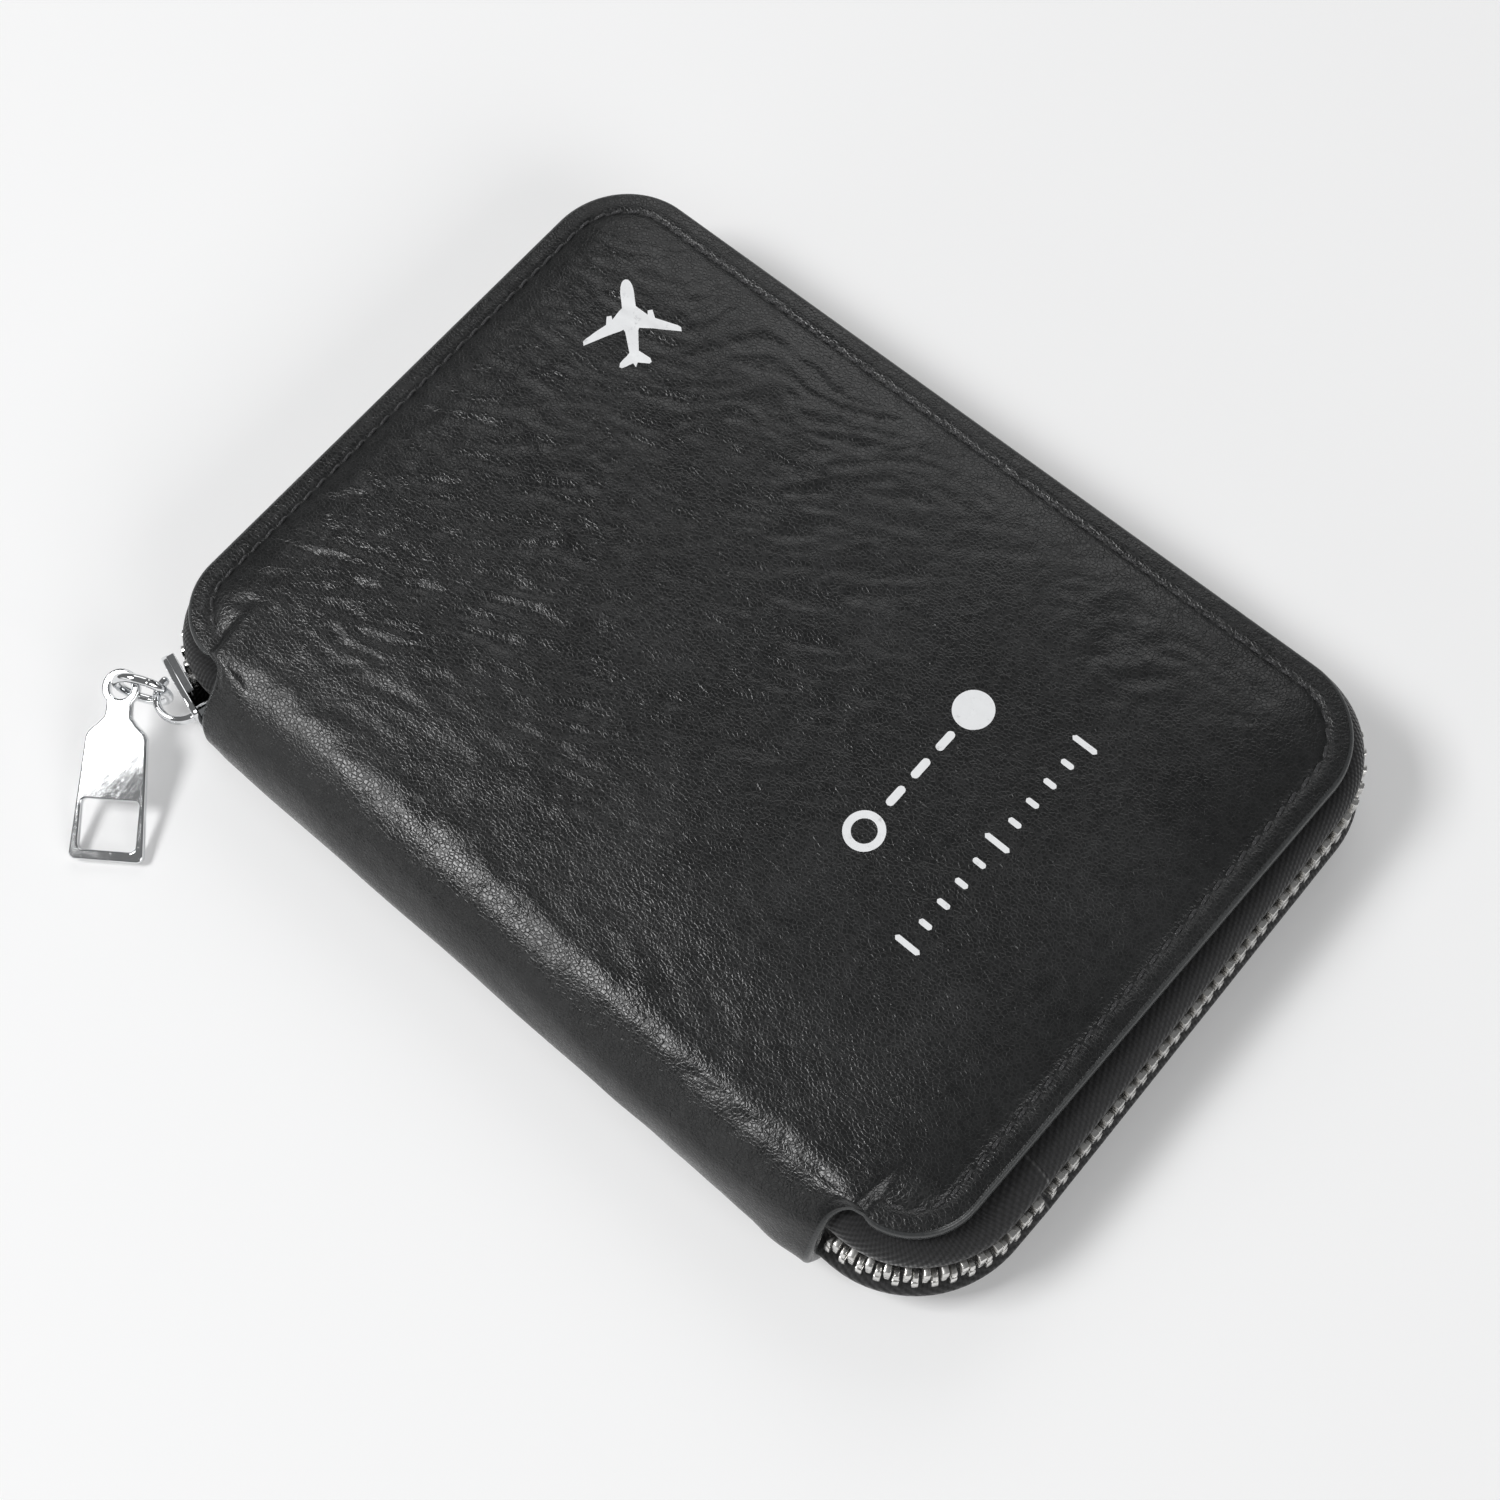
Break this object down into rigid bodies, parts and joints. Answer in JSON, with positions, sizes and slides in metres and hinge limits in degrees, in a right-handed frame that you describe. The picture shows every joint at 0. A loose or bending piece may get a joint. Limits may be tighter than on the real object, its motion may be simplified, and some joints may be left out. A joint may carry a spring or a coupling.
{
  "type": "travel document organizer",
  "caption": "zip-around travel document organizer with padded leather covers, folding spine, metal zip with ring pull, passport and card pockets and a pen loop",
  "frame": {"origin": "centre of the back cover's flat underside", "axes": "X along the spine away from the closed zip's pull, Y from the spine to the opening side, Z from the back cover to the front cover"},
  "size_m": [0.16, 0.1392, 0.021],
  "materials": {
    "leather": "fine pebbled black synthetic leather, satin",
    "foam": "thin grey foam padding",
    "board": "pressed fibre stiffening board",
    "lining": "woven charcoal lining",
    "elastic": "ribbed black elastic",
    "zip_tape": "woven black zip tape",
    "zip_metal": "bright nickel-plated teeth",
    "chrome": "polished chrome"
  },
  "bodies": {
    "back_cover": {"back_leather": "leather", "back_foam": "foam", "back_board": "board", "back_lining": "lining", "ticket_pocket": "lining", "passport_pocket": "leather", "lower_tape": "zip_tape", "lower_teeth": "zip_metal", "left_lower_tape_end": "zip_tape", "right_lower_tape_end": "zip_tape", "left_lower_end_teeth": "zip_metal", "right_lower_end_teeth": "zip_metal"},
    "spine_lower": {"spine_leather_lower": "leather", "spine_lining_lower": "lining", "pen_loop": "elastic", "bottom_stop": "zip_metal", "top_stop_lower": "zip_metal"},
    "spine_upper": {"spine_leather_upper": "leather", "spine_lining_upper": "lining", "top_stop_upper": "zip_metal"},
    "front_cover": {"front_leather": "leather", "front_foam": "foam", "front_board": "board", "front_lining": "lining", "bill_pocket": "lining", "card_pocket_1": "leather", "card_pocket_2": "leather", "card_pocket_3": "leather", "upper_tape": "zip_tape", "upper_teeth": "zip_metal", "left_upper_tape_end": "zip_tape", "right_upper_tape_end": "zip_tape", "left_upper_end_teeth": "zip_metal", "right_upper_end_teeth": "zip_metal"},
    "zip_slider": {"slider_body": "chrome", "slider_bridge": "chrome"},
    "ring": {"pull_ring": "chrome"},
    "pull": {"pull_plate": "chrome"}
  },
  "joints": [
    {"name": "back_fold", "type": "hinge", "parent": "back_cover", "child": "spine_lower", "pos_m": [0, -0.04665, 0], "axis": [1, 0, 0], "range_deg": [0, 30], "deforming": ["left_lower_tape_end", "right_lower_tape_end", "left_lower_end_teeth", "right_lower_end_teeth"]},
    {"name": "spine_fold", "type": "hinge", "parent": "spine_lower", "child": "spine_upper", "pos_m": [0, -0.0555, 0.0105], "axis": [1, 0, 0], "range_deg": [0, 126]},
    {"name": "front_fold", "type": "hinge", "parent": "spine_upper", "child": "front_cover", "pos_m": [0, -0.04315, 0.021], "axis": [1, 0, 0], "range_deg": [0, 24], "deforming": ["left_upper_tape_end", "right_upper_tape_end", "left_upper_end_teeth", "right_upper_end_teeth"]},
    {"name": "zip_travel", "type": "hinge", "parent": "back_cover", "child": "zip_slider", "pos_m": [-0.0625, -0.0373, 0.0105], "axis": [0, 0, -1], "range_deg": [0, 63]},
    {"name": "ring_swing", "type": "hinge", "parent": "zip_slider", "child": "ring", "pos_m": [-0.06744, -0.05346, 0.0105], "axis": [0, 0, 1], "range_deg": [-10, 30]},
    {"name": "pull_swing", "type": "hinge", "parent": "ring", "child": "pull", "pos_m": [-0.07647, -0.05826, 0.00916], "axis": [0, 0, 1], "range_deg": [-30, 30]}
  ],
  "couplings": [
    {"joint": "spine_fold", "follows": "back_fold", "ratio": 4.2},
    {"joint": "front_fold", "follows": "back_fold", "ratio": 0.8},
    {"joint": "zip_travel", "follows": "back_fold", "ratio": 2.1}
  ]
}
